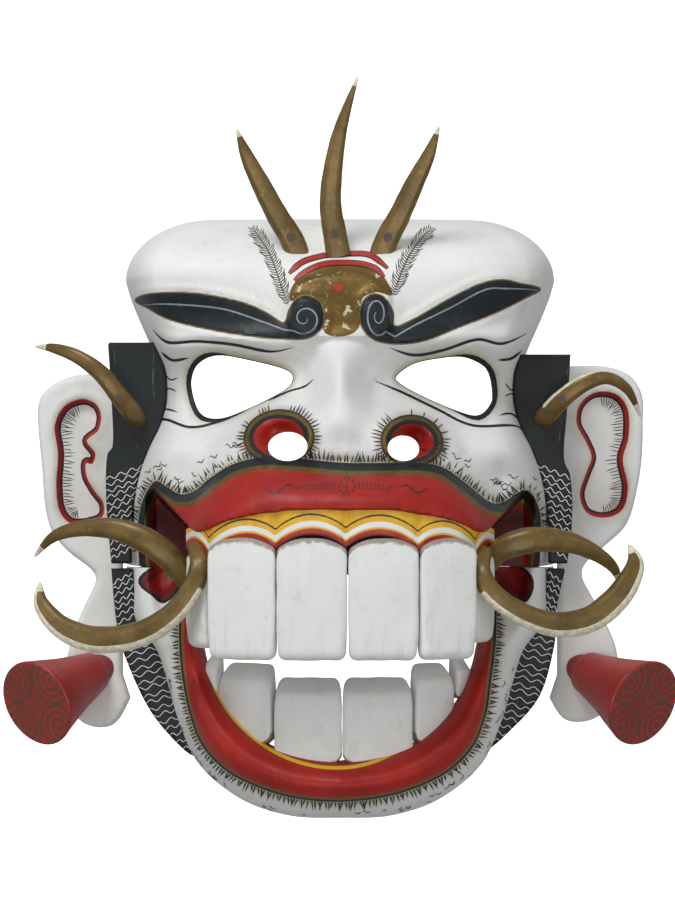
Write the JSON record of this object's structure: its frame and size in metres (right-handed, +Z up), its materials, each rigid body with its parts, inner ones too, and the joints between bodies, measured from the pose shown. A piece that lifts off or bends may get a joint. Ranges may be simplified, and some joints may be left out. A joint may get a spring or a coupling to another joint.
{
  "type": "carved demon mask",
  "caption": "Carved and painted wooden demon mask with a hinged lower jaw, boar-tusk horns and tusks, large ears and tapered ear plugs.",
  "frame": {"origin": "mouth of the hanging hole, in the middle of the crown", "axes": "+Z up, the mask faces -Y, +X to the viewer's right; X = 0 is the middle plane and the rear rim lies in the plane Y = +0.010"},
  "size_m": [0.3952, 0.1834, 0.4204],
  "materials": {
    "face_paint": "matt white paint over carved wood, with black, red, yellow and bronze painting",
    "jaw_paint": "matt white paint over carved wood, with a red lip",
    "gum_paint": "yellow, white and red paint over carved wood",
    "tooth_white": "matt white paint over carved wood",
    "tusk_gilt": "boar tusk painted bronze on its front, with its ivory left bare underneath",
    "ear_paint": "matt white paint over carved wood, with a red and black hollow",
    "plug_paint": "red paint over turned wood, with brown rings on its outer end",
    "hair_black": "black paint over carved wood, with white curls",
    "bare_wood": "bare light wood",
    "iron_pin": "dark rusted iron",
    "leather_washer": "thin brown leather"
  },
  "bodies": {
    "face": {"face_shell": "face_paint", "upper_gum": "gum_paint", "horn_middle": "tusk_gilt", "horn_nails": "iron_pin", "temple_nails": "iron_pin", "upper_tooth_1": "tooth_white", "upper_tooth_2": "tooth_white", "upper_tooth_3": "tooth_white", "upper_tooth_4": "tooth_white", "upper_side_tooth_left": "tooth_white", "ear_left": "ear_paint", "ear_plug_left": "plug_paint", "hair_board_left": "hair_black", "horn_left": "tusk_gilt", "temple_tusk_left": "tusk_gilt", "upper_tusk_left": "tusk_gilt", "lower_tusk_left": "tusk_gilt", "cheek_block_left": "bare_wood", "hinge_pin_left": "iron_pin", "hinge_washer_left": "leather_washer", "upper_side_tooth_right": "tooth_white", "ear_right": "ear_paint", "ear_plug_right": "plug_paint", "hair_board_right": "hair_black", "horn_right": "tusk_gilt", "temple_tusk_right": "tusk_gilt", "upper_tusk_right": "tusk_gilt", "lower_tusk_right": "tusk_gilt", "cheek_block_right": "bare_wood", "hinge_pin_right": "iron_pin", "hinge_washer_right": "leather_washer"},
    "jaw": {"jaw_shell": "jaw_paint", "lower_tooth_1": "tooth_white", "lower_tooth_2": "tooth_white", "lower_tooth_3": "tooth_white", "lower_tooth_4": "tooth_white", "lower_side_tooth_left": "tooth_white", "beard_board_left": "hair_black", "hinge_boss_left": "bare_wood", "lower_side_tooth_right": "tooth_white", "beard_board_right": "hair_black", "hinge_boss_right": "bare_wood"}
  },
  "joints": [
    {"name": "jaw_hinge", "type": "hinge", "parent": "face", "child": "jaw", "pos_m": [0, -0.002, -0.215], "axis": [1, 0, 0], "range_deg": [0, 18], "stiffness_Nm_per_rad": 1, "springref_deg": -17.19}
  ]
}
